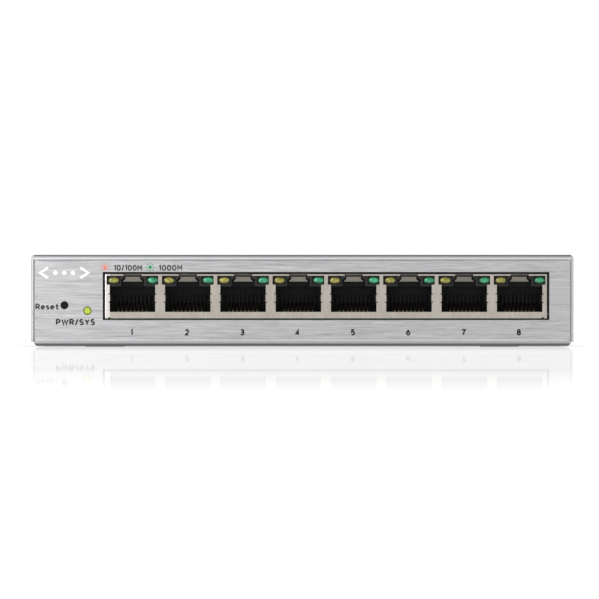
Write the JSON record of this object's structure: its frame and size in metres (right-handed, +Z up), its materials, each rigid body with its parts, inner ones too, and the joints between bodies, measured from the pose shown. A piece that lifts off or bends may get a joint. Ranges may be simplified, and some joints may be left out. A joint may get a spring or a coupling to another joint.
{
  "type": "desktop network switch",
  "caption": "Compact metal desktop network switch with a row of shielded RJ45 ports, port lamps, power lamp, reset pinhole, rear power inlet and rocker switch.",
  "frame": {"origin": "middle of the whole object's footprint, on the surface that the feet stand on", "axes": "+X to the right seen from the front, along the row of ports; +Y from the front panel to the rear; +Z up"},
  "size_m": [0.137, 0.1028, 0.0233],
  "materials": {
    "painted_steel": "satin grey powder coat on folded sheet steel",
    "brushed_aluminium": "horizontally brushed, clear anodised",
    "adhesive_film": "black double-sided film",
    "zinc_plate": "zinc plated steel",
    "foot_rubber": "matt mid-grey rubber",
    "brass": "plain turned brass",
    "board_laminate": "green solder mask over glass laminate",
    "shield_plate": "matt nickel plate on thin brass sheet",
    "jack_plastic": "moulded black thermoplastic, fine texture",
    "contact_gold": "gold flash over nickel",
    "amber_lens": "unlit amber diffused epoxy",
    "green_lens": "green diffused epoxy",
    "power_lens": "lit yellow-green diffused epoxy",
    "tinned_lead": "tinned copper alloy",
    "button_plastic": "black acetal",
    "spring_steel": "thin stainless spring sheet",
    "switch_plastic": "black nylon, slight sheen",
    "chip_epoxy": "moulded black epoxy",
    "thermal_gel": "soft grey silicone pad",
    "sink_aluminium": "black anodised extrusion",
    "ferrite": "dark grey ferrite body",
    "can_aluminium": "plain aluminium can on a black base",
    "ceramic_tan": "tan ceramic with tinned ends",
    "resistor_black": "black glazed alumina chip",
    "ink_dark": "dark grey screen ink, on printed marks only",
    "ink_white": "white screen ink, on printed marks only",
    "ink_orange": "orange screen ink, on printed marks only",
    "ink_green": "green screen ink, on printed marks only"
  },
  "bodies": {
    "case": {"base_chassis": "painted_steel", "board_screws": "zinc_plate", "board_standoffs": "brass", "bulk_capacitors": "can_aluminium", "ceramic_capacitors": "ceramic_tan", "chip_resistors": "resistor_black", "circuit_board": "board_laminate", "cover_screws": "zinc_plate", "crystal": "zinc_plate", "dc_inlet_body": "switch_plastic", "dc_inlet_pin": "tinned_lead", "dc_inlet_spring": "spring_steel", "flash_chip": "chip_epoxy", "front_panel": "brushed_aluminium", "heat_sink": "sink_aluminium", "jack_housing": "jack_plastic", "jack_shield": "shield_plate", "line_transformers": "chip_epoxy", "panel_adhesive": "adhesive_film", "port_1_contacts": "contact_gold", "port_2_contacts": "contact_gold", "port_3_contacts": "contact_gold", "port_4_contacts": "contact_gold", "port_5_contacts": "contact_gold", "port_6_contacts": "contact_gold", "port_7_contacts": "contact_gold", "port_8_contacts": "contact_gold", "port_lamp_leads": "tinned_lead", "port_lamps_amber": "amber_lens", "port_lamps_green": "green_lens", "power_inductors": "ferrite", "power_lamp": "power_lens", "power_lamp_holder": "jack_plastic", "power_lamp_leads": "tinned_lead", "power_switch_body": "switch_plastic", "power_switch_terminals": "tinned_lead", "regulator_chips": "chip_epoxy", "reset_snap_dome": "spring_steel", "reset_switch_body": "button_plastic", "reset_switch_frame": "spring_steel", "reset_switch_pins": "tinned_lead", "rubber_feet": "foot_rubber", "small_chip_leads": "tinned_lead", "switch_chip": "chip_epoxy", "switch_chip_leads": "tinned_lead", "thermal_pad": "thermal_gel", "top_cover": "painted_steel", "transformer_leads": "tinned_lead"},
    "reset_button": {"reset_plunger": "button_plastic"},
    "rocker": {"power_rocker": "switch_plastic"}
  },
  "joints": [
    {"name": "reset_press", "type": "slide", "parent": "case", "child": "reset_button", "axis": [0, 1, 0], "range_m": [0, 0.00025], "stiffness_N_per_m": 4000},
    {"name": "rocker_tilt", "type": "hinge", "parent": "case", "child": "rocker", "pos_m": [0.022, 0.0472, 0.0132], "axis": [0, 0, -1], "range_deg": [0, 20]}
  ]
}
